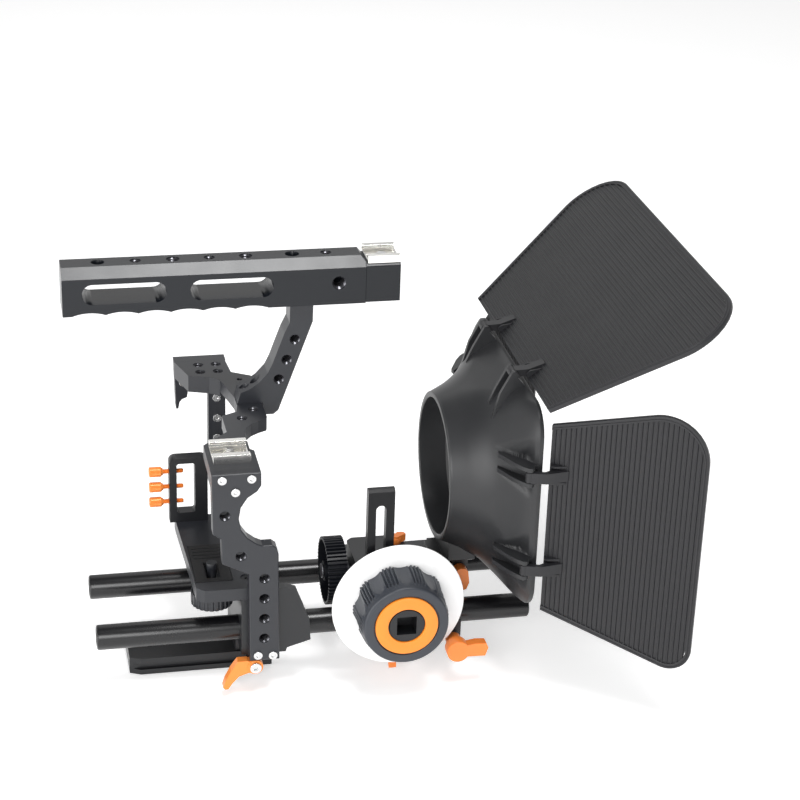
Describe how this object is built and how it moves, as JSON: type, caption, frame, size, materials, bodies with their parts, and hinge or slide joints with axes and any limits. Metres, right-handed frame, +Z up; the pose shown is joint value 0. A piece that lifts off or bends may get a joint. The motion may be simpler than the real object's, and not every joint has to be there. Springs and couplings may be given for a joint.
{
  "type": "cinema camera rig",
  "caption": "Camera cage on 15 mm rods with slotted top handle, geared follow focus with handwheel, and flared matte box with hinged flags.",
  "frame": {"origin": "mouth of the 3/8 inch thread in the underside of the tripod plate, on the rig's centre line", "axes": "+X forward along the rods towards the matte box, +Z up, -Y towards the side with the follow-focus handwheel"},
  "size_m": [0.3576, 0.28, 0.2602],
  "materials": {
    "black_anodised": "satin black anodised",
    "rod_black": "semi-gloss black anodised",
    "steel_bright": "polished",
    "screw_silver": "bright zinc",
    "rubber_black": "matt",
    "orange_metal": "satin orange",
    "orange_plastic": "satin orange",
    "grey_rubber": "matt dark grey",
    "white_disc": "matt white",
    "black_plastic": "fine matt texture",
    "gear_plastic": "satin",
    "steel_dark": "machined"
  },
  "bodies": {
    "cage": {"rod_near": "rod_black", "rod_far": "rod_black", "rod_clamp_block": "black_anodised", "tripod_plate": "black_anodised", "tripod_plate_screws": "screw_silver", "clamp_lever_bracket": "black_anodised", "base_plate": "black_anodised", "base_pad": "rubber_black", "base_plate_screws": "screw_silver", "near_side_plate": "black_anodised", "far_side_plate": "black_anodised", "top_plate": "black_anodised", "near_plate_screws": "screw_silver", "far_plate_screws": "screw_silver", "far_corner_screws": "screw_silver", "near_shoe": "steel_bright", "near_shoe_screws": "screw_silver", "handle_arm": "black_anodised", "arm_foot_screws": "steel_dark", "handle_bar": "black_anodised", "handle_bolt": "steel_dark", "handle_nose": "black_anodised", "handle_shoe": "steel_bright", "handle_shoe_screw": "screw_silver", "cable_clamp_frame": "black_anodised"},
    "clamp_lever_body": {"clamp_lever": "orange_metal", "clamp_lever_screw": "screw_silver"},
    "camera_screw_body": {"camera_screw": "black_anodised"},
    "cable_screw_upper_body": {"cable_screw_upper": "orange_metal"},
    "cable_screw_middle_body": {"cable_screw_middle": "orange_metal"},
    "cable_screw_lower_body": {"cable_screw_lower": "orange_metal"},
    "follow_base": {"follow_rod_clamp": "black_anodised", "follow_post": "black_anodised", "follow_post_screws": "screw_silver"},
    "follow_lever_body": {"follow_clamp_lever": "orange_plastic"},
    "gearbox": {"gearbox_housing": "black_anodised"},
    "gearbox_lever_body": {"gearbox_lock_lever": "orange_plastic"},
    "handwheel": {"wheel_shaft": "steel_dark", "wheel_bevel": "steel_dark", "marking_disc": "white_disc", "handwheel_knob": "grey_rubber", "handwheel_ring": "orange_plastic", "handwheel_socket": "grey_rubber"},
    "drive": {"drive_gear": "gear_plastic", "drive_shaft": "steel_dark", "drive_bevel": "steel_dark"},
    "matte_base": {"matte_rod_clamp": "black_anodised"},
    "matte_knob_body": {"matte_wing_knob": "orange_plastic", "matte_knob_stud": "steel_dark"},
    "matte_body": {"matte_support": "black_plastic", "matte_box_housing": "black_plastic", "top_hinge_pins": "steel_dark", "near_hinge_pins": "steel_dark", "far_hinge_pins": "steel_dark"},
    "matte_lever_body": {"matte_lock_lever": "orange_plastic"},
    "top_flag_body": {"top_flag": "black_plastic"},
    "near_flag_body": {"near_side_flag": "black_plastic"},
    "far_flag_body": {"far_side_flag": "black_plastic"}
  },
  "joints": [
    {"name": "clamp_lever_turn", "type": "hinge", "parent": "cage", "child": "clamp_lever_body", "pos_m": [0.0385, -0.05, 0.0189], "axis": [0, 1, 0], "range_deg": [-60, 0]},
    {"name": "camera_screw_turn", "type": "hinge", "parent": "cage", "child": "camera_screw_body", "pos_m": [0.0165, -0.021, 0.0585], "axis": [0, 0, 1], "continuous": true},
    {"name": "cable_screw_upper_travel", "type": "slide", "parent": "cage", "child": "cable_screw_upper_body", "axis": [1, 0, 0], "range_m": [-0.005, 0.003]},
    {"name": "cable_screw_middle_travel", "type": "slide", "parent": "cage", "child": "cable_screw_middle_body", "axis": [1, 0, 0], "range_m": [-0.005, 0.003]},
    {"name": "cable_screw_lower_travel", "type": "slide", "parent": "cage", "child": "cable_screw_lower_body", "axis": [1, 0, 0], "range_m": [-0.005, 0.003]},
    {"name": "follow_focus_slide", "type": "slide", "parent": "cage", "child": "follow_base", "axis": [1, 0, 0], "range_m": [-0.012, 0.001]},
    {"name": "follow_clamp_lever_turn", "type": "hinge", "parent": "follow_base", "child": "follow_lever_body", "pos_m": [0.123, -0.033, 0.0205], "axis": [0, 0, 1], "range_deg": [-60, 60]},
    {"name": "gearbox_height", "type": "slide", "parent": "follow_base", "child": "gearbox", "axis": [0, 0, 1], "range_m": [0, 0.024]},
    {"name": "gearbox_lock_turn", "type": "hinge", "parent": "gearbox", "child": "gearbox_lever_body", "pos_m": [0.131, -0.002, 0.0705], "axis": [0, 0, 1], "range_deg": [-40, 60]},
    {"name": "handwheel_turn", "type": "hinge", "parent": "gearbox", "child": "handwheel", "pos_m": [0.1234, -0.06, 0.0546], "axis": [0, 1, 0], "continuous": true},
    {"name": "drive_gear_turn", "type": "hinge", "parent": "gearbox", "child": "drive", "pos_m": [0.0916, -0.0056, 0.0546], "axis": [1, 0, 0], "continuous": true},
    {"name": "matte_box_slide", "type": "slide", "parent": "cage", "child": "matte_base", "axis": [1, 0, 0], "range_m": [0, 0.028]},
    {"name": "matte_knob_turn", "type": "hinge", "parent": "matte_base", "child": "matte_knob_body", "pos_m": [0.1592, -0.054, 0.0241], "axis": [0, 1, 0], "range_deg": [-80, 80]},
    {"name": "matte_box_height", "type": "slide", "parent": "matte_base", "child": "matte_body", "axis": [0, 0, 1], "range_m": [0, 0.014]},
    {"name": "matte_lock_turn", "type": "hinge", "parent": "matte_body", "child": "matte_lever_body", "pos_m": [0.1686, -0.02, 0.0551], "axis": [0, 1, 0], "range_deg": [-60, 0]},
    {"name": "top_flag_tilt", "type": "hinge", "parent": "matte_body", "child": "top_flag_body", "pos_m": [0.19, 0, 0.1932], "axis": [0, 1, 0], "range_deg": [-24, 14]},
    {"name": "near_flag_swing", "type": "hinge", "parent": "matte_body", "child": "near_flag_body", "pos_m": [0.191, -0.0804, 0.1185], "axis": [0, 0, 1], "range_deg": [-60, 18]},
    {"name": "far_flag_swing", "type": "hinge", "parent": "matte_body", "child": "far_flag_body", "pos_m": [0.191, 0.0804, 0.1185], "axis": [0, 0, 1], "range_deg": [-38, 36]}
  ],
  "couplings": [
    {"joint": "drive_gear_turn", "follows": "handwheel_turn", "ratio": -1}
  ]
}
